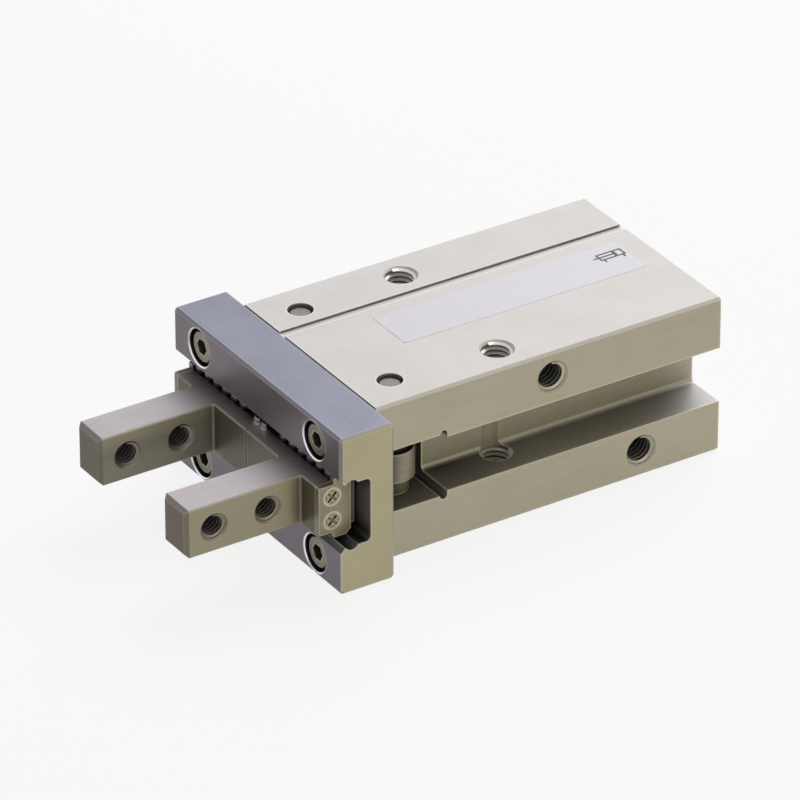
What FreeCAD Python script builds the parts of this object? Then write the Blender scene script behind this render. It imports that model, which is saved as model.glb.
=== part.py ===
"""Pneumatic parallel gripper with a ten millimetre bore, ball-guided jaws and bell-crank levers.

The origin is the centre of the rear mounting face. X is the opening direction, the fingers
point along -Y and Z is up. The jaws are modelled closed, with the piston at its rear stop.
"Ahead" in the sizes and expressions below means a distance from the rear face towards the fingers.
"""
import FreeCAD, Part
import os
import re

import Sketcher

# Name, size in millimetres, what it measures.
SIZES = [
    ("body_width", 23.0, "body across the opening direction"),
    ("body_thickness", 16.4, "body and guide, top face to bottom face"),
    ("body_length", 37.8, "body from the rear face to the guide's seat"),
    ("edge_break", 0.25, "chamfer on the body's and guide's outer edges"),
    ("channel_height", 5.7, "sensor channel in each side of the body"),
    ("channel_depth", 4.45, "sensor channel from the side face to the web"),
    ("channel_corner", 0.5, "radius where a sensor channel's walls meet the web"),
    ("chamber_height", 6.5, "lever chamber across the front of the body"),
    ("chamber_length", 7.6, "lever chamber from the guide's seat backwards"),
    ("chamber_relief", 0.4, "radius of the relief in the chamber's back corners"),
    ("mark_offset", 4.8, "index groove on the top face, from the centre line"),
    ("mark_width", 1.0, "index groove's width"),
    ("mark_depth", 0.25, "index groove's depth"),
    ("mount_pitch", 16.4, "threaded mounting holes through the flanges, across"),
    ("mount_ahead", 22.7, "threaded mounting holes, ahead of the rear face"),
    ("mount_thread", 3.0, "mounting thread's diameter, flanges and rear face"),
    ("rear_pitch_across", 17.0, "rear threaded holes, across"),
    ("rear_pitch_upright", 11.0, "rear threaded holes, upright"),
    ("rear_thread_depth", 6.0, "rear threaded holes' depth"),
    ("thread_lead", 0.2, "countersink at the mouth of a thread"),
    ("port_thread", 3.0, "air port's thread diameter"),
    ("port_depth", 5.0, "air port's thread depth"),
    ("port_passage", 1.2, "drilled passage from a port to the bore"),
    ("closing_port_ahead", 18.7, "closing port, ahead of the rear face"),
    ("opening_port_ahead", 8.7, "opening port, ahead of the rear face"),
    ("bore_diameter", 10.0, "cylinder bore"),
    ("pilot_step", 0.5, "rear register's radius beyond the bore's"),
    ("pilot_depth", 2.0, "rear register's depth"),
    ("ring_land", 0.6, "register's floor to the retaining ring's groove"),
    ("ring_thickness", 0.6, "retaining ring's thickness"),
    ("ring_depth", 0.4, "retaining ring's groove, beyond the bore's radius"),
    ("ring_wide", 1.1, "retaining ring's section, groove floor inwards"),
    ("ring_gap", 4.0, "opening of the retaining ring"),
    ("ring_ear", 1.1, "radius of the ring's ears"),
    ("ring_ear_hole", 0.8, "plier hole in each ear"),
    ("cap_length", 3.8, "end cap's length in the bore"),
    ("cap_boss", 5.0, "end cap's stop boss, diameter"),
    ("cap_dish", 5.4, "dished recess in the end cap's rear face, diameter"),
    ("cap_dish_depth", 0.6, "depth of the dished recess"),
    ("gasket_section", 1.2, "end cap gasket's section"),
    ("rod_diameter", 4.0, "piston rod"),
    ("rod_spigot", 3.0, "rod's spigot through the piston"),
    ("rod_seal_land", 1.5, "cylinder's front wall to the rod seal's groove"),
    ("rod_seal_width", 2.0, "rod seal's groove along the rod"),
    ("rod_seal_depth", 1.4, "rod seal's section"),
    ("piston_ahead", 9.6, "piston's rear face when closed, ahead of the rear face"),
    ("piston_length", 6.6, "piston"),
    ("piston_seal_width", 1.5, "piston seal's groove along the piston"),
    ("piston_seal_depth", 1.3, "piston seal's section"),
    ("magnet_width", 2.2, "ring magnet along the piston"),
    ("magnet_depth", 1.2, "ring magnet's section"),
    ("piston_land", 0.9, "land at each end of the piston"),
    ("bumper_length", 1.8, "bumper ring ahead of the piston"),
    ("bumper_diameter", 7.6, "bumper ring's outside"),
    ("stop_gap", 0.05, "gap left at the piston's two stops"),
    ("spool_neck", 3.1, "rod end's neck between its two flanges"),
    ("spool_flange", 1.4, "thickness of the rod end's flanges"),
    ("spool_wall", 0.55, "rod end's wall around the rod's stud"),
    ("spool_clearance", 0.25, "rod end's flanges to the chamber's walls"),
    ("neck_clearance", 0.125, "lever's tip to the rod end's neck"),
    ("shaft_pitch", 15.4, "lever shafts, across"),
    ("shaft_setback", 3.8, "lever shafts, behind the guide's seat"),
    ("shaft_diameter", 2.5, "lever shaft"),
    ("shaft_recess", 0.35, "shaft's ends below the body's faces"),
    ("shaft_chamfer", 0.3, "chamfer on the shaft's ends"),
    ("lever_hub", 4.6, "lever's hub around its shaft, diameter"),
    ("lever_boss", 3.5, "lever's boss above and below its hub, diameter"),
    ("lever_play", 0.175, "lever's boss to the chamber's top and bottom"),
    ("lever_thickness", 3.0, "lever's hub and arms, upright"),
    ("finger_tip", 2.2, "lever's rounded tip in the jaw, diameter"),
    ("rod_tip", 1.9, "lever's rounded tip in the rod end, diameter"),
    ("arm_waist", 0.25, "each side of a lever's arm, inside its tip's width"),
    ("tip_depth", 0.6, "tip's centre inside the jaw's back face"),
    ("guide_width", 29.0, "guide across the opening direction"),
    ("guide_length", 5.8, "guide from the body to its front face"),
    ("slot_depth", 3.2, "jaw slot from the guide's front face"),
    ("slot_corner", 0.5, "radius in the back corners of the jaw slot"),
    ("mouth_chamfer", 0.5, "chamfer on the lips of the jaw slot"),
    ("window_clearance", 0.35, "guide's lever windows, around the arm's sweep"),
    ("screw_diameter", 2.0, "guide screw"),
    ("screw_head", 3.4, "guide screw's head, diameter"),
    ("screw_head_height", 1.9, "guide screw's head, length"),
    ("screw_socket", 1.5, "guide screw's hexagon socket, across flats"),
    ("screw_socket_depth", 1.0, "guide screw's socket depth"),
    ("screw_sunk", 0.3, "guide screw's head below the front face"),
    ("screw_grip", 2.5, "guide screw's thread in the body"),
    ("screw_side", 1.5, "guide screws, inside the body's side faces"),
    ("screw_edge", 2.25, "guide screws, inside the top and bottom faces"),
    ("screw_clearance", 0.15, "around a guide screw's head and shank"),
    ("seat_rim", 0.12, "chamfer on the mouths of the guide screws' seats"),
    ("finger_length", 12.25, "finger from the jaw's front face to its tip"),
    ("finger_height", 5.0, "finger and jaw, upright"),
    ("finger_thickness", 4.0, "finger across the opening direction"),
    ("finger_chamfer", 0.12, "chamfer along the finger's edges"),
    ("finger_tip_chamfer", 0.4, "chamfer round the finger's tip"),
    ("finger_root", 0.25, "fillet where the finger meets its jaw"),
    ("closed_gap", 11.2, "between the fingers when closed"),
    ("finger_stroke", 2.0, "travel of one finger"),
    ("finger_thread", 2.5, "attachment thread in the fingers"),
    ("finger_hole_end", 3.0, "first attachment hole, from the finger's tip"),
    ("finger_hole_pitch", 5.7, "between a finger's two attachment holes"),
    ("jaw_gap", 0.2, "between the two jaws when closed"),
    ("jaw_reach", 1.15, "jaw's front face ahead of the guide's"),
    ("plate_inset", 1.9, "end plate inside the guide's end when closed"),
    ("slide_clearance", 0.2, "jaw and end plate to the slot's walls"),
    ("tip_clearance", 0.04, "lever's tips in the jaw and the rod end"),
    ("running_clearance", 0.03, "radial, on shafts, rod and piston"),
    ("seat_clearance", 0.01, "radial, on pieces that are pressed or held still"),
    ("ball_diameter", 1.5, "guide ball"),
    ("ball_sink", 0.35, "depth of the ball in each of its grooves"),
    ("ball_setback", 1.2, "ball rows behind the guide's front face"),
    ("ball_play", 0.02, "radial, ball to groove, and half the gap between balls"),
    ("stop_pin", 0.8, "ball stop pin's diameter"),
    ("stop_pin_inset", 0.5, "ball stop pin's axis, from the jaw's inner end"),
    ("stop_pin_ahead", 0.6, "ball stop pin's axis, ahead of its row of balls"),
    ("stop_pin_root", 1.3, "length of a stop pin inside the jaw"),
    ("plate_thickness", 0.6, "end plate that closes the ball rows"),
    ("plate_depth", 3.4, "end plate from the jaw's front face backwards"),
    ("plate_corner", 0.5, "chamfer on the end plate's corners"),
    ("plate_screw", 1.2, "end plate screw"),
    ("plate_screw_sink", 0.4, "length of the countersunk head"),
    ("plate_screw_length", 2.4, "end plate screw"),
    ("plate_screw_pitch", 2.5, "between the end plate's two screws"),
    ("plate_screw_back", 1.45, "end plate screws, behind the jaw's front face"),
    ("cross_length", 1.3, "cross recess in an end plate screw, length"),
    ("cross_width", 0.32, "cross recess, width"),
    ("cross_depth", 0.3, "cross recess, depth"),
]
NAMES = {name for name, size, meaning in SIZES}

# Places worked out from the sizes, as expressions that the features share.
SIDE = "(body_width / 2)"
TOP = "(body_thickness / 2)"
WEB = f"({SIDE} - channel_depth)"
FLANGE_MIDDLE = "((body_thickness + channel_height) / 4)"
CHAMBER_BACK = "(body_length - chamber_length)"
GUIDE_FRONT = "(body_length + guide_length)"
SLOT_BACK = f"({GUIDE_FRONT} - slot_depth)"
JAW_FRONT = f"({GUIDE_FRONT} + jaw_reach)"
JAW_BACK = f"({SLOT_BACK} + slide_clearance)"
FINGER_END = f"({JAW_FRONT} + finger_length)"
FINGER_IN = "(closed_gap / 2)"
FINGER_OUT = "(closed_gap / 2 + finger_thickness)"
JAW_IN = "(jaw_gap / 2)"
JAW_OUT = "(guide_width / 2 - plate_inset - plate_thickness)"
SHAFT_SIDE = "(shaft_pitch / 2)"
SHAFT_AHEAD = "(body_length - shaft_setback)"
FINGER_ARM = f"({JAW_BACK} + tip_depth - {SHAFT_AHEAD})"
ROD_ARM = f"({SHAFT_SIDE} - spool_neck / 2 - rod_tip / 2 - neck_clearance)"
HALF_TRAVEL = f"(finger_stroke / 2 * {ROD_ARM} / {FINGER_ARM})"
SPOOL_AHEAD = f"({SHAFT_AHEAD} - {HALF_TRAVEL})"
SPOOL_GROOVE = "(rod_tip / 2 + tip_clearance)"
SPOOL_RADIUS = "(chamber_height / 2 - spool_clearance)"
STUD_RADIUS = "(spool_neck / 2 - spool_wall)"
PISTON_FRONT = "(piston_ahead + piston_length)"
CYLINDER_END = f"({PISTON_FRONT} + bumper_length + 2 * {HALF_TRAVEL} + stop_gap)"
ROD_SEAL_AHEAD = f"({CYLINDER_END} + rod_seal_land)"
ROD_HOLE = "(rod_diameter / 2 + running_clearance)"
BORE = "(bore_diameter / 2)"
RING_AHEAD = "(pilot_depth + ring_land)"
CAP_AHEAD = f"({RING_AHEAD} + ring_thickness)"
CAP_FRONT = f"({CAP_AHEAD} + cap_length)"
BALL = "(ball_diameter / 2)"
BALL_GROOVE = f"({BALL} + ball_play)"
BALL_AHEAD = f"({GUIDE_FRONT} - ball_setback)"
STOP_AHEAD = f"({BALL_AHEAD} + stop_pin_ahead)"
BALL_LEVEL = f"(finger_height / 2 + {BALL} - ball_sink)"
SLOT_LEVEL = "(finger_height / 2 + ball_diameter - 2 * ball_sink)"
SCREW_SIDE = f"({SIDE} - screw_side)"
SCREW_LEVEL = f"({TOP} - screw_edge)"
SCREW_SEAT = f"({GUIDE_FRONT} - screw_sunk - screw_head_height)"
PLATE_SCREW_AHEAD = f"({JAW_FRONT} - plate_screw_back)"
PLATE_FACE = f"({JAW_OUT} + plate_thickness)"
PLATE_HOLE = "(plate_screw / 2 + seat_clearance)"

document = FreeCAD.newDocument("ParallelGripper")
sheet = document.addObject("Spreadsheet::Sheet", "Sizes")
sub_parts = []


def fill_sheet():
    """Write every size into the sheet, under its own name."""
    for row, (name, size, meaning) in enumerate(SIZES, start=1):
        sheet.set(f"A{row}", meaning)
        sheet.set(f"B{row}", str(size))
        sheet.setAlias(f"B{row}", name)
    document.recompute()


def bound(expression):
    """The expression with the sheet's name before each size."""
    return re.sub(r"\w+", lambda word: f"Sizes.{word[0]}" if word[0] in NAMES else word[0], expression)


def number(expression):
    """The present value of an expression of the sizes."""
    result = sheet.evalExpression(bound(expression))
    return float(getattr(result, "Value", result))


def bind(thing, **expressions):
    """Bind an object's properties to expressions of the sizes."""
    for name, expression in expressions.items():
        thing.setExpression(name.replace("__", "."), bound(expression))


def place(thing, x="0", y="0", z="0"):
    """Put an object's own origin at a place given by expressions."""
    bind(thing, Placement__Base__x=x, Placement__Base__y=y, Placement__Base__z=z)


def new_body(name):
    body = document.addObject("PartDesign::Body", name)
    body.Label = name
    return body


def new_sketch(body, name, plane, offset="0"):
    """A sketch on one of the body's own origin planes, moved along the plane's normal."""
    sketch = body.newObject("Sketcher::SketchObject", f"{body.Name}_{name}")
    support = next(item for item in body.Origin.OriginFeatures if item.Role == plane)
    sketch.AttachmentSupport = [(support, "")]
    sketch.MapMode = "FlatFace"
    bind(sketch, AttachmentOffset__Base__z=offset)
    return sketch


def dimension(sketch, constraint, expression):
    index = sketch.addConstraint(constraint)
    sketch.setExpression(f"Constraints[{index}]", bound(expression))


def fix_point(sketch, item, point, x, y):
    """Hold one point of a sketch's line or circle at x, y from the sketch's origin."""
    dimension(sketch, Sketcher.Constraint("DistanceX", -1, 1, item, point, number(x)), x)
    dimension(sketch, Sketcher.Constraint("DistanceY", -1, 1, item, point, number(y)), y)


def outline(sketch, corners):
    """A closed outline of straight lines through corners given as expressions."""
    first = sketch.GeometryCount
    points = [FreeCAD.Vector(number(x), number(y), 0) for x, y in corners]
    for start, end in zip(points, points[1:] + points[:1]):
        sketch.addGeometry(Part.LineSegment(start, end), False)
    for index, (x, y) in enumerate(corners):
        previous = first + (index - 1) % len(corners)
        sketch.addConstraint(Sketcher.Constraint("Coincident", previous, 2, first + index, 1))
        fix_point(sketch, first + index, 1, x, y)


def rectangle(sketch, left, right, low, high):
    outline(sketch, [(left, low), (right, low), (right, high), (left, high)])


def circle(sketch, x, y, radius):
    centre = FreeCAD.Vector(number(x), number(y), 0)
    upright = FreeCAD.Vector(0, 0, 1)
    item = sketch.addGeometry(Part.Circle(centre, upright, number(radius)), False)
    fix_point(sketch, item, 3, x, y)
    dimension(sketch, Sketcher.Constraint("Radius", item, number(radius)), radius)


def pad(body, sketch, length, symmetric=False):
    feature = body.newObject("PartDesign::Pad", f"{sketch.Name}_pad")
    feature.Profile = sketch
    feature.SideType = "Symmetric" if symmetric else "One side"
    bind(feature, Length=length)
    document.recompute()
    return feature


def cut_checked(body, feature, before):
    document.recompute()
    if feature.Shape.Volume >= before:
        raise RuntimeError(f"{feature.Name} cuts nothing from {body.Name}")
    return feature


def pocket(body, sketch, depth, symmetric=False, backwards=False, taper=0):
    """Cut against the sketch's normal, or along it where backwards is set; taper is in degrees."""
    before = body.Shape.Volume
    feature = body.newObject("PartDesign::Pocket", f"{sketch.Name}_pocket")
    feature.Profile = sketch
    feature.SideType = "Symmetric" if symmetric else "One side"
    feature.Reversed = backwards
    feature.TaperAngle = taper
    bind(feature, Length=depth)
    return cut_checked(body, feature, before)


def revolve(body, sketch, axis):
    feature = body.newObject("PartDesign::Revolution", f"{sketch.Name}_turned")
    feature.Profile = sketch
    feature.ReferenceAxis = (sketch, [axis])
    feature.Angle = 360
    document.recompute()
    return feature


def groove(body, sketch, axis):
    before = body.Shape.Volume
    feature = body.newObject("PartDesign::Groove", f"{sketch.Name}_groove")
    feature.Profile = sketch
    feature.ReferenceAxis = (sketch, [axis])
    feature.Angle = 360
    return cut_checked(body, feature, before)


def edges_where(feature, test):
    """Names of the feature's edges that pass a test."""
    return [f"Edge{n}" for n, edge in enumerate(feature.Shape.Edges, start=1) if test(edge)]


def dress(body, kind, name, feature, test, size):
    """A chamfer or fillet on the feature's edges that pass a test."""
    dressed = body.newObject(f"PartDesign::{kind}", f"{body.Name}_{name}")
    dressed.Base = (feature, edges_where(feature, test))
    bind(dressed, **{"Size" if kind == "Chamfer" else "Radius": size})
    document.recompute()
    return dressed


def near(value, expression):
    return abs(value - number(expression)) < 1e-6


def all_points(edge, axis, expression):
    """True where the whole edge lies at one place along an axis."""
    return all(near(getattr(vertex.Point, axis), expression) for vertex in edge.Vertexes)


def is_hole(edge, radius):
    """True for a full circle of the given radius."""
    return edge.isClosed() and hasattr(edge.Curve, "Radius") and near(edge.Curve.Radius, radius)


def is_straight(edge):
    return isinstance(edge.Curve, Part.Line)


def along(edge, axis):
    """True for a straight edge along an axis."""
    return is_straight(edge) and abs(abs(getattr(edge.Curve.Direction, axis)) - 1) < 1e-6


def mirrored(source, name, x=0, y=0, z=0):
    """The source's mirror image in the plane through the origin with the given normal."""
    image = document.addObject("Part::Mirroring", name)
    image.Source = source
    image.Normal = (x, y, z)
    return image


def group(name, pieces):
    """Separate solids that share one sub-part."""
    compound = document.addObject("Part::Compound", name)
    compound.Links = pieces
    return compound


def keep(thing, name):
    """List a finished object as a sub-part, under its own label."""
    thing.Label = name
    sub_parts.append(thing)
    return thing


def keep_pair(right, name):
    """Keep a right-hand sub-part and its left-hand mirror image."""
    keep(right, f"{name}_right")
    keep(mirrored(right, f"{name}_left", x=1), f"{name}_left")


def turned(name, profile):
    """A body turned about the gripper's axis, from corners given as radius and distance ahead."""
    body = new_body(name)
    sketch = new_sketch(body, "profile", "XY_Plane")
    outline(sketch, [(radius, f"-{ahead}") for radius, ahead in profile])
    revolve(body, sketch, "V_Axis")
    return body


def ring(name, inside, outside, start, end):
    """A plain ring about the gripper's axis."""
    return turned(name, [(inside, start), (outside, start), (outside, end), (inside, end)])


def make_body():
    """Extruded body with sensor channels, lever chamber, cylinder, ports and threads."""
    body = new_body("body")
    section = new_sketch(body, "section", "XZ_Plane")
    flange = [
        (WEB, "channel_height / 2"),
        (SIDE, "channel_height / 2"),
        (SIDE, f"{TOP} - edge_break"),
        (f"{SIDE} - edge_break", TOP),
    ]
    upper = flange + [(f"-({x})", z) for x, z in reversed(flange)]
    outline(section, upper + [(x, f"-({z})") for x, z in reversed(upper)])
    extrusion = pad(body, section, "body_length")

    def channel_corner(edge):
        """Where a channel's floor or roof meets the web."""
        return along(edge, "y") and any(all_points(edge, "x", x) for x in (WEB, f"-{WEB}"))

    dress(body, "Fillet", "channel_corners", extrusion, channel_corner, "channel_corner")

    chamber = new_sketch(body, "chamber", "XZ_Plane", "body_length")
    rectangle(chamber, f"-{SIDE}", SIDE, "-chamber_height / 2", "chamber_height / 2")
    pocket(body, chamber, "chamber_length")

    reliefs = new_sketch(body, "chamber_reliefs", "YZ_Plane")
    for side in ("", "-"):
        circle(reliefs, f"-{CHAMBER_BACK} - chamber_relief", f"{side}chamber_height / 2", "chamber_relief")
    pocket(body, reliefs, "body_width", symmetric=True)

    pilot = f"({BORE} + pilot_step)"
    ring_groove = f"({BORE} + ring_depth)"
    ring_end = f"({RING_AHEAD} + ring_thickness + running_clearance)"
    seal = f"({ROD_HOLE} + rod_seal_depth)"
    seal_end = f"({ROD_SEAL_AHEAD} + rod_seal_width)"
    cylinder = new_sketch(body, "cylinder", "XY_Plane")
    steps = [
        ("0", "0"), (pilot, "0"), (pilot, "pilot_depth"), (BORE, "pilot_depth"),
        (BORE, RING_AHEAD), (ring_groove, RING_AHEAD), (ring_groove, ring_end), (BORE, ring_end),
        (BORE, CYLINDER_END), (ROD_HOLE, CYLINDER_END), (ROD_HOLE, ROD_SEAL_AHEAD), (seal, ROD_SEAL_AHEAD),
        (seal, seal_end), (ROD_HOLE, seal_end), (ROD_HOLE, CHAMBER_BACK), ("0", CHAMBER_BACK),
    ]
    outline(cylinder, [(radius, f"-{ahead}") for radius, ahead in steps])
    groove(body, cylinder, "V_Axis")

    upright = new_sketch(body, "upright_holes", "XY_Plane", TOP)
    for side in ("", "-"):
        circle(upright, f"{side}{SHAFT_SIDE}", f"-{SHAFT_AHEAD}", "shaft_diameter / 2")
        circle(upright, f"{side}mount_pitch / 2", "-mount_ahead", "mount_thread / 2")
    pocket(body, upright, "body_thickness")

    ports = new_sketch(body, "ports", "YZ_Plane", SIDE)
    passages = new_sketch(body, "passages", "YZ_Plane", SIDE)
    for ahead, side in (("closing_port_ahead", ""), ("opening_port_ahead", "-")):
        circle(ports, f"-{ahead}", f"{side}{FLANGE_MIDDLE}", "port_thread / 2")
        circle(passages, f"-{ahead}", f"{side}{BORE}", "port_passage / 2")
    pocket(body, ports, "port_depth")
    pocket(body, passages, SIDE)

    rear = new_sketch(body, "rear_threads", "XZ_Plane")
    circle(rear, "rear_pitch_across / 2", "rear_pitch_upright / 2", "mount_thread / 2")
    circle(rear, "-rear_pitch_across / 2", "-rear_pitch_upright / 2", "mount_thread / 2")
    pocket(body, rear, "rear_thread_depth", backwards=True)

    seats = new_sketch(body, "screw_threads", "XZ_Plane", "body_length")
    for x in (SCREW_SIDE, f"-{SCREW_SIDE}"):
        for z in (SCREW_LEVEL, f"-{SCREW_LEVEL}"):
            circle(seats, x, z, "screw_diameter / 2 + seat_clearance")
    pocket(body, seats, "screw_grip + screw_clearance")

    mark = new_sketch(body, "index_groove", "XZ_Plane", "body_length")
    left = "-mark_offset - mark_width / 2"
    right = "-mark_offset + mark_width / 2"
    rectangle(mark, left, right, f"{TOP} - mark_depth", TOP)
    last = pocket(body, mark, "body_length")

    def thread_mouth(edge):
        """The rim of a mounting thread or port where it opens on an outer face."""
        if is_hole(edge, "port_thread / 2") and all_points(edge, "x", SIDE):
            return True
        faces = (("z", TOP), ("z", f"-{TOP}"), ("y", "0"))
        on_face = any(all_points(edge, axis, level) for axis, level in faces)
        return on_face and is_hole(edge, "mount_thread / 2")

    dress(body, "Chamfer", "thread_leads", last, thread_mouth, "thread_lead")
    return keep(body, "body")


def make_guide():
    """Steel guide block: a slot for the jaws, ball grooves, lever windows and sunk screw seats."""
    body = new_body("guide")
    section = new_sketch(body, "section", "YZ_Plane")
    upper = [
        (f"-{SLOT_BACK}", SLOT_LEVEL),
        (f"-{GUIDE_FRONT} + mouth_chamfer", SLOT_LEVEL),
        (f"-{GUIDE_FRONT}", f"{SLOT_LEVEL} + mouth_chamfer"),
        (f"-{GUIDE_FRONT}", f"{TOP} - edge_break"),
        (f"-{GUIDE_FRONT} + edge_break", TOP),
        ("-body_length - edge_break", TOP),
        ("-body_length", f"{TOP} - edge_break"),
    ]
    outline(section, upper + [(y, f"-({z})") for y, z in reversed(upper)])
    pad(body, section, "guide_width", symmetric=True)

    rows = new_sketch(body, "ball_grooves", "YZ_Plane")
    for side in ("", "-"):
        circle(rows, f"-{BALL_AHEAD}", f"{side}{BALL_LEVEL}", BALL_GROOVE)
    pocket(body, rows, "guide_width", symmetric=True)

    heads = new_sketch(body, "screw_heads", "XZ_Plane", GUIDE_FRONT)
    shanks = new_sketch(body, "screw_shanks", "XZ_Plane", GUIDE_FRONT)
    rims = new_sketch(body, "seat_rims", "XZ_Plane", GUIDE_FRONT)
    for x in (SCREW_SIDE, f"-{SCREW_SIDE}"):
        for z in (SCREW_LEVEL, f"-{SCREW_LEVEL}"):
            circle(heads, x, z, "screw_head / 2 + screw_clearance")
            circle(shanks, x, z, "screw_diameter / 2 + screw_clearance")
            circle(rims, x, z, "screw_head / 2 + screw_clearance + seat_rim")
    pocket(body, heads, "screw_sunk + screw_head_height")
    pocket(body, shanks, "guide_length")
    pocket(body, rims, "seat_rim", taper=-45)

    windows = new_sketch(body, "lever_windows", "XZ_Plane", SLOT_BACK)
    reach = "finger_stroke / 2 + finger_tip / 2 + window_clearance"
    level = "lever_thickness / 2 + window_clearance"
    rectangle(windows, f"{SHAFT_SIDE} - ({reach})", f"{SHAFT_SIDE} + {reach}", f"-({level})", level)
    rectangle(windows, f"-{SHAFT_SIDE} - ({reach})", f"-{SHAFT_SIDE} + {reach}", f"-({level})", level)
    last = pocket(body, windows, "guide_length - slot_depth")

    def slot_corner(edge):
        level = any(all_points(edge, "z", z) for z in (SLOT_LEVEL, f"-{SLOT_LEVEL}"))
        return level and along(edge, "x") and all_points(edge, "y", f"-{SLOT_BACK}")

    last = dress(body, "Fillet", "slot_corners", last, slot_corner, "slot_corner")

    def end_edge(edge):
        """An outer edge of either end face, away from the slot."""
        lip = number(f"{SLOT_LEVEL} + mouth_chamfer")
        on_end = any(all_points(edge, "x", x) for x in ("guide_width / 2", "-guide_width / 2"))
        beyond = all(abs(vertex.Point.z) > lip for vertex in edge.Vertexes)
        return on_end and beyond and is_straight(edge)

    dress(body, "Chamfer", "end_edges", last, end_edge, "edge_break")
    return keep(body, "guide")


def make_guide_screws():
    """Four socket head screws that hold the guide to the body."""
    screw = new_body("guide_screw")
    profile = new_sketch(screw, "profile", "XY_Plane")
    grip = f"{SCREW_SEAT} - body_length + screw_grip"
    outline(profile, [
        ("0", "-screw_head_height"),
        ("screw_head / 2 - edge_break", "-screw_head_height"),
        ("screw_head / 2", "-screw_head_height + edge_break"),
        ("screw_head / 2", "0"),
        ("screw_diameter / 2", "0"),
        ("screw_diameter / 2", grip),
        ("0", grip),
    ])
    revolve(screw, profile, "V_Axis")
    socket = new_sketch(screw, "socket", "XZ_Plane", "screw_head_height")
    corner = "screw_socket / 2 / cos(30)"
    outline(socket, [(f"{corner} * cos({60 * turn})", f"{corner} * sin({60 * turn})") for turn in range(6)])
    pocket(screw, socket, "screw_socket_depth")
    place(screw, SCREW_SIDE, f"-{SCREW_SEAT}", SCREW_LEVEL)
    upper = group("guide_screws_upper", [screw, mirrored(screw, "guide_screw_left", x=1)])
    lower = mirrored(upper, "guide_screws_lower", z=1)
    return keep(group("guide_screws", [upper, lower]), "guide_screws")


def make_lever_shafts():
    """Two pins through both flanges, on which the levers swing."""
    shaft = new_body("lever_shaft")
    profile = new_sketch(shaft, "profile", "XZ_Plane")
    end = f"({TOP} - shaft_recess)"
    radius = "(shaft_diameter / 2 - seat_clearance)"
    outline(profile, [
        ("0", f"-{end}"), (f"{radius} - shaft_chamfer", f"-{end}"), (radius, f"-{end} + shaft_chamfer"),
        (radius, f"{end} - shaft_chamfer"), (f"{radius} - shaft_chamfer", end), ("0", end),
    ])
    revolve(shaft, profile, "V_Axis")
    place(shaft, SHAFT_SIDE, f"-{SHAFT_AHEAD}")
    return keep(group("lever_shafts", [shaft, mirrored(shaft, "lever_shaft_left", x=1)]), "lever_shafts")


def make_end_cap():
    """Moulded cap that closes the cylinder, with a gasket groove and a stop boss for the piston."""
    outside = f"({BORE} - running_clearance)"
    floor = f"({BORE} - gasket_section - seat_clearance)"
    groove_start = f"({CAP_AHEAD} + (cap_length - gasket_section) / 2 - running_clearance)"
    groove_end = f"({CAP_AHEAD} + (cap_length + gasket_section) / 2 + running_clearance)"
    boss_end = "(piston_ahead - stop_gap)"
    dish_floor = f"({CAP_AHEAD} + cap_dish_depth)"
    return keep(turned("end_cap", [
        ("0", dish_floor), ("cap_dish / 2", dish_floor), ("cap_dish / 2", CAP_AHEAD), (outside, CAP_AHEAD),
        (outside, groove_start), (floor, groove_start), (floor, groove_end), (outside, groove_end),
        (outside, CAP_FRONT), ("cap_boss / 2", CAP_FRONT), ("cap_boss / 2", boss_end), ("0", boss_end),
    ]), "end_cap")


def make_cap_gasket():
    """Rubber ring in the end cap's groove."""
    start = f"({CAP_AHEAD} + (cap_length - gasket_section) / 2)"
    end = f"({CAP_AHEAD} + (cap_length + gasket_section) / 2)"
    inside = f"({BORE} - gasket_section)"
    return keep(ring("cap_gasket", inside, f"({BORE} - seat_clearance)", start, end), "cap_gasket")


def make_retaining_ring():
    """Spring clip with two ears, behind the end cap."""
    body = new_body("retaining_ring")
    outside = f"({BORE} + ring_depth - seat_clearance)"
    hoop = new_sketch(body, "hoop", "XZ_Plane", RING_AHEAD)
    circle(hoop, "0", "0", outside)
    circle(hoop, "0", "0", f"{outside} - ring_wide")
    pad(body, hoop, "ring_thickness")
    opening = new_sketch(body, "opening", "XZ_Plane", RING_AHEAD)
    rectangle(opening, "-ring_gap / 2", "ring_gap / 2", "0", outside)
    pocket(body, opening, "ring_thickness", backwards=True)
    ear_side = "(ring_gap / 2 + ring_ear / 2)"
    ear_level = f"sqrt(({BORE} - running_clearance - ring_ear)^2 - {ear_side}^2)"
    ears = new_sketch(body, "ears", "XZ_Plane", RING_AHEAD)
    holes = new_sketch(body, "ear_holes", "XZ_Plane", RING_AHEAD)
    for side in ("", "-"):
        circle(ears, f"{side}{ear_side}", ear_level, "ring_ear")
        circle(holes, f"{side}{ear_side}", ear_level, "ring_ear_hole / 2")
    pad(body, ears, "ring_thickness")
    pocket(body, holes, "ring_thickness", backwards=True)
    return keep(body, "retaining_ring")


def make_rod_seal():
    outside = f"({ROD_HOLE} + rod_seal_depth - seat_clearance)"
    end = f"({ROD_SEAL_AHEAD} + rod_seal_width - running_clearance)"
    return keep(ring("rod_seal", ROD_HOLE, outside, ROD_SEAL_AHEAD, end), "rod_seal")


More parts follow.
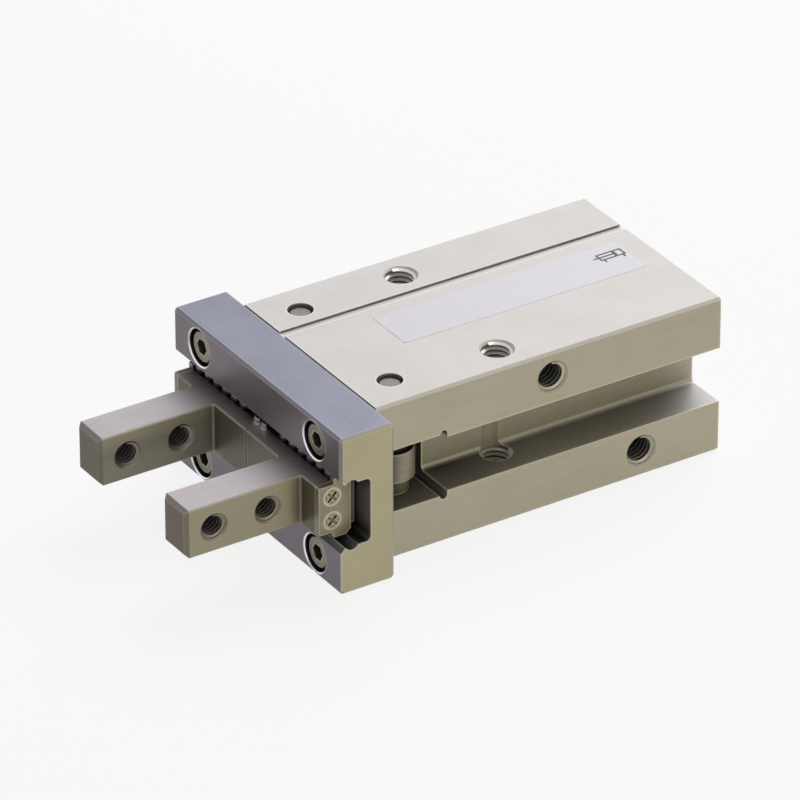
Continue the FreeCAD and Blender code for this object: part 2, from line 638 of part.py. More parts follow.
def make_piston():
    """Piston with a seal groove, a magnet groove and a bore for the rod's spigot."""
    outside = f"({BORE} - running_clearance)"
    seal_floor = f"({BORE} - piston_seal_depth)"
    magnet_floor = f"({BORE} - magnet_depth)"
    seal_start = f"({PISTON_FRONT} - piston_land - piston_seal_width)"
    seal_end = f"({PISTON_FRONT} - piston_land)"
    magnet_start = "(piston_ahead + piston_land)"
    magnet_end = "(piston_ahead + piston_land + magnet_width)"
    hole = "(rod_spigot / 2 + seat_clearance)"
    keep(turned("piston", [
        (hole, "piston_ahead"), (outside, "piston_ahead"), (outside, magnet_start),
        (magnet_floor, magnet_start), (magnet_floor, magnet_end), (outside, magnet_end),
        (outside, seal_start), (seal_floor, seal_start), (seal_floor, seal_end),
        (outside, seal_end), (outside, PISTON_FRONT), (hole, PISTON_FRONT),
    ]), "piston")
    fitted = (("piston_seal", seal_floor, seal_start, seal_end),
              ("magnet_ring", magnet_floor, magnet_start, magnet_end))
    for name, floor, start, end in fitted:
        inside = f"({floor} + seat_clearance)"
        keep(ring(name, inside, outside, start, f"({end} - running_clearance)"), name)


def make_piston_rod():
    """Rod with a spigot through the piston and a stud for its rod end, and the parts fitted on it."""
    rod = "(rod_diameter / 2)"
    spool_back = f"({SPOOL_AHEAD} - {SPOOL_GROOVE} - spool_flange)"
    spool_front = f"({SPOOL_AHEAD} + {SPOOL_GROOVE} + spool_flange)"
    keep(turned("piston_rod", [
        ("0", "piston_ahead"), ("rod_spigot / 2", "piston_ahead"), ("rod_spigot / 2", PISTON_FRONT),
        (rod, PISTON_FRONT), (rod, spool_back), (STUD_RADIUS, spool_back), (STUD_RADIUS, spool_front),
        ("0", spool_front),
    ]), "piston_rod")

    hole = f"({STUD_RADIUS} + seat_clearance)"
    neck_start = f"({SPOOL_AHEAD} - {SPOOL_GROOVE})"
    neck_end = f"({SPOOL_AHEAD} + {SPOOL_GROOVE})"
    keep(turned("rod_end", [
        (hole, spool_back), (SPOOL_RADIUS, spool_back), (SPOOL_RADIUS, neck_start),
        ("spool_neck / 2", neck_start), ("spool_neck / 2", neck_end), (SPOOL_RADIUS, neck_end),
        (SPOOL_RADIUS, spool_front), (hole, spool_front),
    ]), "rod_end")

    bumper_end = f"({PISTON_FRONT} + bumper_length)"
    inside = f"({rod} + seat_clearance)"
    keep(ring("bumper", inside, "bumper_diameter / 2", PISTON_FRONT, bumper_end), "bumper")


def make_levers():
    """Bell cranks: a hub and boss on the shaft, one arm to the jaw and one to the rod end."""
    lever = new_body("lever_right")
    hub = new_sketch(lever, "hub", "XY_Plane")
    circle(hub, "0", "0", "lever_hub / 2")
    pad(lever, hub, "lever_thickness", symmetric=True)
    boss = new_sketch(lever, "boss", "XY_Plane")
    circle(boss, "0", "0", "lever_boss / 2")
    pad(lever, boss, "chamber_height - 2 * lever_play", symmetric=True)

    for name, reach, tip in (("finger", f"-{FINGER_ARM}", "finger_tip"), ("rod", f"-{ROD_ARM}", "rod_tip")):
        half = f"({tip} / 2 - arm_waist)"
        arm = new_sketch(lever, f"{name}_arm", "XY_Plane")
        end = new_sketch(lever, f"{name}_end", "XY_Plane")
        if name == "finger":
            rectangle(arm, f"-{half}", half, reach, "0")
            circle(end, "0", reach, f"{tip} / 2")
        else:
            rectangle(arm, reach, "0", f"-{half}", half)
            circle(end, reach, "0", f"{tip} / 2")
        pad(lever, arm, "lever_thickness", symmetric=True)
        pad(lever, end, "lever_thickness", symmetric=True)

    hole = new_sketch(lever, "hole", "XY_Plane")
    circle(hole, "0", "0", "shaft_diameter / 2 + running_clearance")
    pocket(lever, hole, "chamber_height", symmetric=True)

    lever.Placement = FreeCAD.Placement(FreeCAD.Vector(), FreeCAD.Rotation(FreeCAD.Vector(0, 0, 1), -1))
    place(lever, SHAFT_SIDE, f"-{SHAFT_AHEAD}")
    bind(lever, Placement__Rotation__Angle=f"-asin(finger_stroke / 2 / {FINGER_ARM})")
    keep_pair(lever, "lever")


def make_fingers():
    """Finger and jaw in one piece, with ball grooves, a lever pocket and threaded holes."""
    finger = new_body("finger_right")
    half = "finger_height / 2"
    jaw = new_sketch(finger, "jaw", "XZ_Plane", JAW_BACK)
    rectangle(jaw, JAW_IN, JAW_OUT, f"-{half}", half)
    pad(finger, jaw, f"{JAW_FRONT} - {JAW_BACK}")

    bar = new_sketch(finger, "bar", "XZ_Plane", JAW_FRONT)
    rectangle(bar, FINGER_IN, FINGER_OUT, f"-{half}", half)
    last = pad(finger, bar, "finger_length")

    def on_flank(edge):
        return any(all_points(edge, "x", x) for x in (FINGER_IN, FINGER_OUT))

    def root_edge(edge):
        return on_flank(edge) and along(edge, "z") and all_points(edge, "y", f"-{JAW_FRONT}")

    def tip_edge(edge):
        return all_points(edge, "y", f"-{FINGER_END}")

    def long_edge(edge):
        return on_flank(edge) and along(edge, "y")

    last = dress(finger, "Fillet", "root", last, root_edge, "finger_root")
    last = dress(finger, "Chamfer", "tip", last, tip_edge, "finger_tip_chamfer")
    dress(finger, "Chamfer", "long_edges", last, long_edge, "finger_chamfer")

    rows = new_sketch(finger, "ball_grooves", "YZ_Plane", JAW_OUT)
    for side in ("", "-"):
        circle(rows, f"-{BALL_AHEAD}", f"{side}{BALL_LEVEL}", BALL_GROOVE)
    pocket(finger, rows, JAW_OUT)

    slot = new_sketch(finger, "lever_pocket", "XZ_Plane", JAW_BACK)
    centre = f"({SHAFT_SIDE} - finger_stroke / 2)"
    reach = "(finger_tip / 2 + tip_clearance)"
    level = "(lever_thickness / 2 + 2 * tip_clearance)"
    rectangle(slot, f"{centre} - {reach}", f"{centre} + {reach}", f"-{level}", level)
    pocket(finger, slot, f"tip_depth + {reach}", backwards=True)

    holes = new_sketch(finger, "attachment_holes", "YZ_Plane", FINGER_OUT)
    first = f"({FINGER_END} - finger_hole_end)"
    for ahead in (first, f"({first} - finger_hole_pitch)"):
        circle(holes, f"-{ahead}", "0", "finger_thread / 2")
    last = pocket(finger, holes, "finger_thickness")

    def hole_mouth(edge):
        return is_hole(edge, "finger_thread / 2") and on_flank(edge)

    dress(finger, "Chamfer", "thread_leads", last, hole_mouth, "thread_lead")

    screws = new_sketch(finger, "plate_screw_holes", "YZ_Plane", JAW_OUT)
    for side in ("", "-"):
        circle(screws, f"-{PLATE_SCREW_AHEAD}", f"{side}plate_screw_pitch / 2", PLATE_HOLE)
    pocket(finger, screws, "plate_screw_length - plate_thickness + stop_gap")

    for name, level, backwards in (("upper", half, False), ("lower", f"-{half}", True)):
        pins = new_sketch(finger, f"{name}_stop_hole", "XY_Plane", level)
        circle(pins, f"{JAW_IN} + stop_pin_inset", f"-{STOP_AHEAD}", "stop_pin / 2 + seat_clearance")
        pocket(finger, pins, "stop_pin_root", backwards=backwards)
    keep_pair(finger, "finger")


def make_end_plates():
    """Plates on the jaws' outer ends, with ears that hold the ball rows in."""
    plate = new_body("end_plate_right")
    face = new_sketch(plate, "face", "YZ_Plane", JAW_OUT)
    half = "finger_height / 2"
    ear = f"({SLOT_LEVEL} - slide_clearance)"
    back = f"({JAW_FRONT} - plate_depth)"
    ear_front = f"({BALL_AHEAD} + {BALL})"
    upper = [
        (f"-{back}", f"{ear} - plate_corner"),
        (f"-{back} - plate_corner", ear),
        (f"-{ear_front}", ear),
        (f"-{ear_front}", half),
        (f"-{JAW_FRONT} + finger_chamfer", half),
        (f"-{JAW_FRONT}", f"{half} - finger_chamfer"),
    ]
    outline(face, upper + [(y, f"-({z})") for y, z in reversed(upper)])
    pad(plate, face, "plate_thickness")

    holes = new_sketch(plate, "holes", "YZ_Plane", PLATE_FACE)
    for side in ("", "-"):
        circle(holes, f"-{PLATE_SCREW_AHEAD}", f"{side}plate_screw_pitch / 2", PLATE_HOLE)
    last = pocket(plate, holes, "plate_thickness")

    def countersink(edge):
        return is_hole(edge, PLATE_HOLE) and all_points(edge, "x", PLATE_FACE)

    dress(plate, "Chamfer", "countersinks", last, countersink, "plate_screw_sink")
    keep_pair(plate, "end_plate")


def make_plate_screws():
    """Two countersunk cross-recess screws on each end plate."""
    screw = new_body("plate_screw_right")
    profile = new_sketch(screw, "profile", "XY_Plane")
    head = "(plate_screw / 2 + plate_screw_sink - seat_clearance)"
    shank = "plate_screw / 2"
    outline(profile, [
        ("0", "0"), ("0", head), ("-plate_screw_sink", shank), ("-plate_screw_length", shank),
        ("-plate_screw_length", "0"),
    ])
    revolve(screw, profile, "H_Axis")
    cross = new_sketch(screw, "cross", "YZ_Plane")
    arm = "cross_length / 2"
    side = "cross_width / 2"
    quarter = [(arm, side), (side, side), (side, arm)]
    turns = [quarter, [(f"-{y}", z) for y, z in reversed(quarter)]]
    lower = [[(y, f"-{z}") for y, z in reversed(part)] for part in reversed(turns)]
    outline(cross, [corner for part in turns + lower for corner in part])
    pocket(screw, cross, "cross_depth")
    screw.Placement = FreeCAD.Placement(FreeCAD.Vector(), FreeCAD.Rotation(FreeCAD.Vector(1, 0, 0), 45))
    place(screw, PLATE_FACE, f"-{PLATE_SCREW_AHEAD}", "plate_screw_pitch / 2")
    pair = group("plate_screws_right", [screw, mirrored(screw, "plate_screw_lower", z=1)])
    keep_pair(pair, "plate_screws")


def make_ball_stops():
    """Pins at the jaws' inner ends that hold the ball rows in."""
    pin = document.addObject("Part::Cylinder", "ball_stop")
    proud = f"({SLOT_LEVEL} - slide_clearance - finger_height / 2)"
    bind(pin, Radius="stop_pin / 2", Height=f"{proud} + stop_pin_root")
    place(pin, f"{JAW_IN} + stop_pin_inset", f"-{STOP_AHEAD}", "finger_height / 2 - stop_pin_root")
    pair = group("ball_stops_right", [pin, mirrored(pin, "ball_stop_lower", z=1)])
    keep_pair(pair, "ball_stops")


def make_ball_rows():
    """Two rows of balls for each jaw, pushed out against the end plates while the jaws are closed."""
    pitch = "(ball_diameter + 2 * ball_play)"
    outer = f"({JAW_OUT} - {BALL} - stop_gap)"
    inner = f"({JAW_IN} + stop_pin_inset + stop_pin / 2 + finger_stroke / 2 + {BALL})"
    count = 1 + int(number(f"({outer} - {inner}) / {pitch}"))
    balls = []
    for index in range(count):
        ball = document.addObject("Part::Sphere", f"ball_{index}")
        bind(ball, Radius=BALL)
        place(ball, f"{outer} - {index} * {pitch}", f"-{BALL_AHEAD}", BALL_LEVEL)
        balls.append(ball)
    upper = group("upper_balls_right", balls)
    lower = mirrored(upper, "lower_balls_right", z=1)
    keep_pair(upper, "upper_balls")
    keep_pair(lower, "lower_balls")


def check_and_write():
    """Stop at any failed object or unsound shape, then write one file for each sub-part."""
    document.recompute()
    failed = [item.Name for item in document.Objects if {"Invalid", "Error"} & set(item.State)]
    unsound = [item.Label for item in sub_parts if item.Shape.isNull() or not item.Shape.isValid()]
    if failed or unsound:
        raise RuntimeError(f"failed objects {failed}, unsound shapes {unsound}")
    os.makedirs("parts", exist_ok=True)
    for item in sub_parts:
        item.Shape.exportStep(f"parts/{item.Label}.step")


fill_sheet()
make_body()
make_guide()
make_guide_screws()
make_lever_shafts()
make_end_cap()
make_cap_gasket()
make_retaining_ring()
make_rod_seal()
make_piston()
make_piston_rod()
make_levers()
make_fingers()
make_end_plates()
make_plate_screws()
make_ball_stops()
make_ball_rows()
check_and_write()
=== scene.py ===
"""Looks of a small pneumatic parallel gripper: its metals, seals, cut threads and label film.

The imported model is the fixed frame. Sizes below are in millimetres, in that frame: the origin is the
centre of the rear face, X is the opening direction, the fingers point along -Y and Z is up. Only the
floor's size, the lamps and the camera are given in metres.
"""
import math

import bpy
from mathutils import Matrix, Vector


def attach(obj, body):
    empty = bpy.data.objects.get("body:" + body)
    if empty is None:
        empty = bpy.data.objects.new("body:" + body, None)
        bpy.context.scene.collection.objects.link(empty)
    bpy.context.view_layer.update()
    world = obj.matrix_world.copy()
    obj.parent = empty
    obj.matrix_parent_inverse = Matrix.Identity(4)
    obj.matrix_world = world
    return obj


MM = 0.001
SIDES = {"left": -1, "right": 1}
ALONG_X, ALONG_Y, ALONG_Z = range(3)
WHITE = (1, 1, 1, 1)

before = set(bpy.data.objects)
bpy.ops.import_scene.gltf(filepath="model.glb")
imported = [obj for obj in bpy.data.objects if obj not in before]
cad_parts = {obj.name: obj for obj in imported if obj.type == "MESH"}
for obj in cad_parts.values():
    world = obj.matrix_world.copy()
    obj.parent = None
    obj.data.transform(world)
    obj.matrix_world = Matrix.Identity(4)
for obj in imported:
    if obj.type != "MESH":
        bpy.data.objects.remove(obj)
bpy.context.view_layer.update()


def linear(code):
    """An sRGB hex colour as linear red, green, blue and alpha."""
    parts = [int(code[i:i + 2], 16) / 255 for i in (1, 3, 5)]
    return [c / 12.92 if c <= 0.04045 else ((c + 0.055) / 1.055) ** 2.4 for c in parts] + [1.0]


def add_node(tree, kind, settings=None, values=None, links=None):
    """Add a node with its settings, its sockets' values and the outputs that feed its sockets."""
    node = tree.nodes.new(kind)
    for name, value in (settings or {}).items():
        setattr(node, name, value)
    for socket, value in (values or {}).items():
        node.inputs[socket].default_value = value
    for socket, source in (links or {}).items():
        tree.links.new(source, node.inputs[socket])
    return node


def new_material(name):
    """A node material with only its surface and output nodes."""
    material = bpy.data.materials.new(name)
    material.use_nodes = True
    tree = material.node_tree
    tree.nodes.clear()
    surface = add_node(tree, "ShaderNodeBsdfPrincipled")
    add_node(tree, "ShaderNodeOutputMaterial", links={"Surface": surface.outputs["BSDF"]})
    return material, tree, surface


# A tool line changes this much more slowly along its run than across it.
LINE_STRETCH = 0.03
# Width of the slow changes of tone that etching and handling leave, and of the pale edges, which are
# partly rubbed bright by wear and partly a painted highlight.
TONE_MM, EDGE_MM = 5.0, 0.2
# Painted shade: a dark tint laid in closed corners, recesses and under other parts, where shade falls,
# and the rays that look for those corners and for the edges.
PAINTED_SHADE_TINT = "#1B1A1B"
CORNER_RAYS = 8
# How much rougher or smoother a tool line is than the metal round it, and how strongly lines and
# mould grain show as relief.
GLOSS_SWING = 0.06
LINE_RELIEF, GRAIN_RELIEF = 0.5, 0.6

# Where each pattern starts and where it is full: both noises added up, how squarely a face looks
# along an axis, how open a corner is, how level a floor is, how thick the metal is at an edge, and
# the lines' noise.
TONE_LIMITS = {"From Min": 0.75, "From Max": 1.25}
END_LIMITS = {"From Min": 0.4, "From Max": 0.95}
PAINTED_SHADE_LIMITS = {"From Min": 0.85, "From Max": 0.15}
FLOOR_LIMITS = {"From Min": 0.5, "From Max": 0.9}
WEAR_AND_HIGHLIGHT_LIMITS = {"From Min": 0.95, "From Max": 0.6}
GLOSS_LIMITS = {"From Min": 0.3, "From Max": 0.7}
# A face whose normal has this much of +Y or more looks to the rear.
REAR_FACING = 0.5


def finish_and_shade_by_facing(tree, place, tone, colour, facing_finish_and_shade):
    """The colour, with two tones of their own on the faces that look along the axes listed: partly a
    finish of their own, partly light and shade painted by the way the face looks.
    """
    for axis, light, dark in facing_finish_and_shade:
        matt = add_node(tree, "ShaderNodeMix", {"data_type": "RGBA"},
                        values={"A": linear(dark), "B": linear(light)},
                        links={"Factor": tone.outputs["Fac"]})
        facing = add_node(tree, "ShaderNodeSeparateXYZ", links={"Vector": place.outputs["Normal"]})
        lengthwise = add_node(tree, "ShaderNodeMath", {"operation": "ABSOLUTE"},
                              links={0: facing.outputs[axis]})
        end = add_node(tree, "ShaderNodeMapRange", values=END_LIMITS,
                       links={"Value": lengthwise.outputs["Value"]})
        colour = add_node(tree, "ShaderNodeMix", {"data_type": "RGBA"},
                          links={"Factor": end.outputs["Result"], "A": colour.outputs["Result"],
                                 "B": matt.outputs["Result"]})
    return colour


def painted_floor_shade(tree, place, painted_shade, y, z, reach_y, reach_z, added):
    """The painted shade, with more of it painted on the floor of a trough round Y and Z, as far as it
    reaches, as the shadow that lies on that floor.
    """
    trough = add_node(tree, "ShaderNodeMapping",
                      values={"Location": (0, -y / reach_y, -z / reach_z),
                              "Scale": (0, 1 / (reach_y * MM), 1 / (reach_z * MM))},
                      links={"Vector": place.outputs["Object"]})
    near = add_node(tree, "ShaderNodeTexGradient", {"gradient_type": "SPHERICAL"},
                    links={"Vector": trough.outputs["Vector"]})
    facing = add_node(tree, "ShaderNodeSeparateXYZ", links={"Vector": place.outputs["Normal"]})
    floor = add_node(tree, "ShaderNodeMapRange", values={**FLOOR_LIMITS, "To Max": added},
                     links={"Value": facing.outputs["Z"]})
    deepened_shade = add_node(tree, "ShaderNodeMath", {"operation": "MULTIPLY_ADD"},
                      links={0: near.outputs["Fac"], 1: floor.outputs["Result"], 2: painted_shade})
    return deepened_shade.outputs["Value"]


def seat_rims(tree, place, x, z, inner, outer):
    """The rims between two radii of four bores along Y, at X and Z on all sides of the middle.

    The rear face is left out, where the rims would show beside the body.
    """
    folded = add_node(tree, "ShaderNodeVectorMath", {"operation": "ABSOLUTE"},
                      links={0: place.outputs["Object"]})
    centred = add_node(tree, "ShaderNodeMapping",
                       values={"Location": (-x * MM, 0, -z * MM), "Scale": (1, 0, 1)},
                       links={"Vector": folded.outputs["Vector"]})
    away = add_node(tree, "ShaderNodeVectorMath", {"operation": "LENGTH"},
                    links={0: centred.outputs["Vector"]})
    rim = add_node(tree, "ShaderNodeMath", {"operation": "COMPARE"},
                   values={1: (inner + outer) / 2 * MM, 2: (outer - inner) / 2 * MM},
                   links={0: away.outputs["Value"]})
    facing = add_node(tree, "ShaderNodeSeparateXYZ", links={"Vector": place.outputs["Normal"]})
    front = add_node(tree, "ShaderNodeMath", {"operation": "LESS_THAN"}, values={1: REAR_FACING},
                     links={0: facing.outputs["Y"]})
    rim = add_node(tree, "ShaderNodeMath", {"operation": "MULTIPLY"},
                   links={0: rim.outputs["Value"], 1: front.outputs["Value"]})
    return rim.outputs["Value"]


def tooled_metal(name, light, dark, wear_and_highlight, metallic, roughness, line_mm, run, depth_mm=0.004,
                 painted_shade_depth=0.9, corner_mm=2.5, own=False, facing_finish_and_shade=(), floor_shade=None, shade_over_edges=False, rims=None):
    """A machined metal: tool lines, slow changes of tone, pale edges that are partly wear and partly a
    painted highlight, and painted shade in the corners.

    line_mm is the spacing of the lines, run the axis they lie along and depth_mm their depth. oiled
    is how much painted shade a closed corner takes, and corner_mm how far it reaches. With own, only
    the piece's own corners take painted shade. ends lists axes, each with the two colours of the faces
    that look along it: partly a finish of their own, partly light and shade painted by the way the face
    looks. pool gives the numbers of painted_floor_shade, painted shade on a floor, and rims those of
    seat_rims, which are cut bright and painted pale as a glint. With drowned, the painted shade lies
    over the pale edges too.
    """
    material, tree, surface = new_material(name)
    place = add_node(tree, "ShaderNodeTexCoord")
    stretch = [1.0, 1.0, 1.0]
    stretch[run] = LINE_STRETCH
    along = add_node(tree, "ShaderNodeMapping", values={"Scale": stretch},
                     links={"Vector": place.outputs["Object"]})
    lines = add_node(tree, "ShaderNodeTexNoise",
                     values={"Scale": 1 / (line_mm * MM), "Detail": 3.0, "Roughness": 0.6},
                     links={"Vector": along.outputs["Vector"]})
    tone = add_node(tree, "ShaderNodeTexNoise",
                    values={"Scale": 1 / (TONE_MM * MM), "Detail": 4.0, "Roughness": 0.55},
                    links={"Vector": place.outputs["Object"]})
    both = add_node(tree, "ShaderNodeMath", {"operation": "ADD"},
                    links={0: lines.outputs["Fac"], 1: tone.outputs["Fac"]})
    share = add_node(tree, "ShaderNodeMapRange", values=TONE_LIMITS,
                     links={"Value": both.outputs["Value"]})
    colour = add_node(tree, "ShaderNodeMix", {"data_type": "RGBA"},
                      values={"A": linear(dark), "B": linear(light)},
                      links={"Factor": share.outputs["Result"]})
    colour = finish_and_shade_by_facing(tree, place, tone, colour, facing_finish_and_shade)

    # Painted shade: the colour goes towards the dark tint where ambient occlusion finds a closed
    # corner, as the shade there.
    corner = add_node(tree, "ShaderNodeAmbientOcclusion",
                      {"samples": CORNER_RAYS, "only_local": own},
                      values={"Distance": corner_mm * MM})
    painted_shade = add_node(tree, "ShaderNodeMapRange", values={**PAINTED_SHADE_LIMITS, "To Max": painted_shade_depth},
                   links={"Value": corner.outputs["AO"]}).outputs["Result"]
    # A painted shadow, darker on the floor of a trough.
    if floor_shade:
        painted_shade = painted_floor_shade(tree, place, painted_shade, **floor_shade)
    # Pale edges: a pale tint laid along convex edges, partly wear and partly a painted highlight.
    edge = add_node(tree, "ShaderNodeAmbientOcclusion",
                    {"samples": CORNER_RAYS, "inside": True, "only_local": True},
                    values={"Distance": EDGE_MM * MM})
    wear_and_highlight_mask = add_node(tree, "ShaderNodeMapRange", values=WEAR_AND_HIGHLIGHT_LIMITS,
                    links={"Value": edge.outputs["AO"]}).outputs["Result"]
    # The painted shade and the pale edges are laid in turn; in the holes the painted shade goes on top.
    layers = [(PAINTED_SHADE_TINT, painted_shade), (wear_and_highlight, wear_and_highlight_mask)]
    if shade_over_edges:
        layers.reverse()
    # The seat rims: cut bright, painted pale as a glint, and fully metallic there.
    if rims:
        rim = seat_rims(tree, place, **rims)
        layers.append((wear_and_highlight, rim))
        metal = add_node(tree, "ShaderNodeMapRange", values={"To Min": metallic, "To Max": 1.0},
                         links={"Value": rim})
        tree.links.new(metal.outputs["Result"], surface.inputs["Metallic"])
    for tint, cover in layers:
        colour = add_node(tree, "ShaderNodeMix", {"data_type": "RGBA"}, values={"B": linear(tint)},
                          links={"Factor": cover, "A": colour.outputs["Result"]})

    gloss = add_node(tree, "ShaderNodeMapRange",
                     values={**GLOSS_LIMITS, "To Min": roughness - GLOSS_SWING,
                             "To Max": roughness + GLOSS_SWING},
                     links={"Value": lines.outputs["Fac"]})
    relief = add_node(tree, "ShaderNodeBump",
                      values={"Strength": LINE_RELIEF, "Distance": depth_mm * MM},
                      links={"Height": lines.outputs["Fac"]})
    surface.inputs["Metallic"].default_value = metallic
    tree.links.new(colour.outputs["Result"], surface.inputs["Base Color"])
    tree.links.new(gloss.outputs["Result"], surface.inputs["Roughness"])
    tree.links.new(relief.outputs["Normal"], surface.inputs["Normal"])
    return material


def moulded(name, light, dark, roughness, grain_mm, depth_mm):
    """A moulded plastic or rubber, a film or an ink, with a fine even grain."""
    material, tree, surface = new_material(name)
    place = add_node(tree, "ShaderNodeTexCoord")
    grain = add_node(tree, "ShaderNodeTexNoise",
                     values={"Scale": 1 / (grain_mm * MM), "Detail": 3.0},
                     links={"Vector": place.outputs["Object"]})
    colour = add_node(tree, "ShaderNodeMix", {"data_type": "RGBA"},
                      values={"A": linear(dark), "B": linear(light)},
                      links={"Factor": grain.outputs["Fac"]})
    relief = add_node(tree, "ShaderNodeBump",
                      values={"Strength": GRAIN_RELIEF, "Distance": depth_mm * MM},
                      links={"Height": grain.outputs["Fac"]})
    surface.inputs["Roughness"].default_value = roughness
    tree.links.new(colour.outputs["Result"], surface.inputs["Base Color"])
    tree.links.new(relief.outputs["Normal"], surface.inputs["Normal"])
    return material


# The painted shadow on the floor of the lever chamber, and the rims of the guide's four screw seats.
CHAMBER_FLOOR_SHADE = {"y": -38.0, "z": -3.2, "reach_y": 20.0, "reach_z": 1.6, "added": 0.75}
SEAT_RIMS = {"x": 10.0, "z": 5.95, "inner": 1.86, "outer": 1.99}

# Real tool lines and mould grain are a few hundredths of a millimetre wide, too fine to show in the
# picture, so the spacings below are drawn up to ten times as coarse.

# Etched and clear anodised aluminium: pale and satin, so that its faces look even and soft, with faint
# drawing lines along the extrusion. Corners are painted darker as shade, and the chamber's floor is
# painted black as its shadow.
anodised = tooled_metal(
    "anodised_aluminium", "#DAD6D7", "#D2CFC9", "#F6F4EE", metallic=0.15, roughness=0.48,
    line_mm=0.3, run=ALONG_Y, painted_shade_depth=0.92, corner_mm=7.2, own=True, floor_shade=CHAMBER_FLOOR_SHADE)
# The same metal in the mounting holes, bright from the tap, so that its ridges catch the light.
tapped_aluminium = tooled_metal(
    "tapped_aluminium", "#E8E5DE", "#D4D0C8", "#F6F4EE", metallic=0.3, roughness=0.34,
    line_mm=0.3, run=ALONG_Y, painted_shade_depth=0.4, corner_mm=2.0)
# And in the air ports, pale at the mouth and painted dark further in, as the shade inside the port.
port_aluminium = tooled_metal(
    "shaded_port_aluminium", "#B4AEA2", "#989286", "#E0DACC", metallic=0.3, roughness=0.4,
    line_mm=0.3, run=ALONG_Y, painted_shade_depth=1.35, corner_mm=5.0, shade_over_edges=True)
# Hardened stainless steel, surface ground along its length: cooler and shinier than the body, with
# long fine lines. Its ends are left matt, warm and pale, partly a finish of their own and partly
# painted light; its front is painted a little warmer than its top, as the tint of what it reflects;
# its slot is painted black as shade; and the rims of its screw seats are cut bright and painted pale
# as a glint.
guide_steel = tooled_metal(
    "ground_steel", "#888B9E", "#7D7F8D", "#E4E4EA", metallic=0.25, roughness=0.38,
    line_mm=0.25, run=ALONG_X, painted_shade_depth=3.0, corner_mm=8.0, own=True, rims=SEAT_RIMS,
    facing_finish_and_shade=(("X", "#D6CFB8", "#C6BFA8"), ("Y", "#988E9C", "#8C8290")))
# The same steel on the fingers: pale where it is ground, and darker and duller on the milled fronts,
# partly their finish and partly painted shade, and a little warmer at the sides, partly painted light.
finger_steel = tooled_metal(
    "finger_steel", "#BFB9BD", "#B3ACB0", "#CFCBC6", metallic=0.2, roughness=0.44,
    line_mm=0.2, run=ALONG_Y,
    facing_finish_and_shade=(("X", "#BBB7AB", "#AFAB9F"), ("Y", "#827A69", "#746C5C")))
# And in the fingers' threaded holes, painted dark as the shade inside them, so that only the first
# ridges show.
tapped_steel = tooled_metal(
    "tapped_steel", "#7C766C", "#69645B", "#A59E92", metallic=0.3, roughness=0.4,
    line_mm=0.3, run=ALONG_X, painted_shade_depth=1.1, corner_mm=4.0, shade_over_edges=True)
# Stainless steel sheet, tumbled: a soft warm grey with paler edges, partly wear and partly a painted
# highlight.
plate_steel = tooled_metal(
    "plate_steel", "#B3AD9E", "#A39D8F", "#D2CDC0", metallic=0.2, roughness=0.38,
    line_mm=0.3, run=ALONG_Z)
# Stainless screw steel, cold headed: a darker warm grey with pale rims on heads and recesses, partly
# wear and partly a painted highlight.
screw_steel = tooled_metal(
    "screw_steel", "#A29B86", "#857F6E", "#D6D1BE", metallic=0.4, roughness=0.36,
    line_mm=0.3, run=ALONG_Y, painted_shade_depth=0.75)
# Centreless ground shafts: their sides are painted dark, as the shade in the bores round them, and
# their cut ends are a dull grey.
shaft_steel = tooled_metal(
    "shaft_steel", "#3C3937", "#332F2E", "#6E6A67", metallic=0.3, roughness=0.38,
    line_mm=0.2, run=ALONG_Z, painted_shade_depth=0.5, facing_finish_and_shade=(("Z", "#85817E", "#777370"),))
# Polished steel pins: clean mirrors that pick up the white round them.
pin_steel = tooled_metal(
    "polished_steel", "#F4F4F4", "#EAEAEA", "#FAFAFA", metallic=1.0, roughness=0.1,
    line_mm=0.3, run=ALONG_Z, depth_mm=0.0005, painted_shade_depth=0.0)
# Lapped bearing steel: mirrors painted dark, as the shade of the gap they roll in, with small bright
# glints.
ball_steel = tooled_metal(
    "bearing_steel", "#74747F", "#686872", "#80808C", metallic=0.9, roughness=0.14,
    line_mm=0.4, run=ALONG_X, depth_mm=0.0005, painted_shade_depth=0.6)
# Sintered and hardened steel, slightly porous: dull and even, and painted darker deeper in the chamber,
# as shade.
lever_steel = tooled_metal(
    "lever_steel", "#B8B0A5", "#A39C92", "#BBB5AA", metallic=0.3, roughness=0.42,
    line_mm=0.3, run=ALONG_Y, painted_shade_depth=1.6, corner_mm=6.0)
# Hard chromed rod: bright and smooth, with hardly a line.
rod_steel = tooled_metal(
    "rod_steel", "#B9B9BC", "#ABABAF", "#CFCFD2", metallic=1.0, roughness=0.16,
    line_mm=0.2, run=ALONG_Y, depth_mm=0.001)
# Spring steel with a black oxide skin: dark, and paler at its edges, partly rubbed grey by wear and
# partly a painted highlight.
spring_steel = tooled_metal(
    "spring_steel", "#4A4A4C", "#3A3A3C", "#77777A", metallic=0.6, roughness=0.4,
    line_mm=0.3, run=ALONG_X)
# Glass-filled resin: black and matt from the mould, with a fine grain.
cap_resin = moulded("cap_resin", "#2E2E31", "#232326", roughness=0.5, grain_mm=0.25, depth_mm=0.01)
# Nitrile rubber: deep black and dull.
seal_rubber = moulded("nitrile_rubber", "#1E1E1F", "#161617",
                      roughness=0.6, grain_mm=0.2, depth_mm=0.005)
# Ferrite powder bonded in rubber: brownish black, with a powdery grain.
magnet_rubber = moulded("bonded_magnet", "#33302F", "#262423",
                        roughness=0.55, grain_mm=0.15, depth_mm=0.005)
# Cast urethane: smooth amber with a little shine.
urethane = moulded("urethane", "#C39A4E", "#B48A40", roughness=0.4, grain_mm=0.4, depth_mm=0.005)
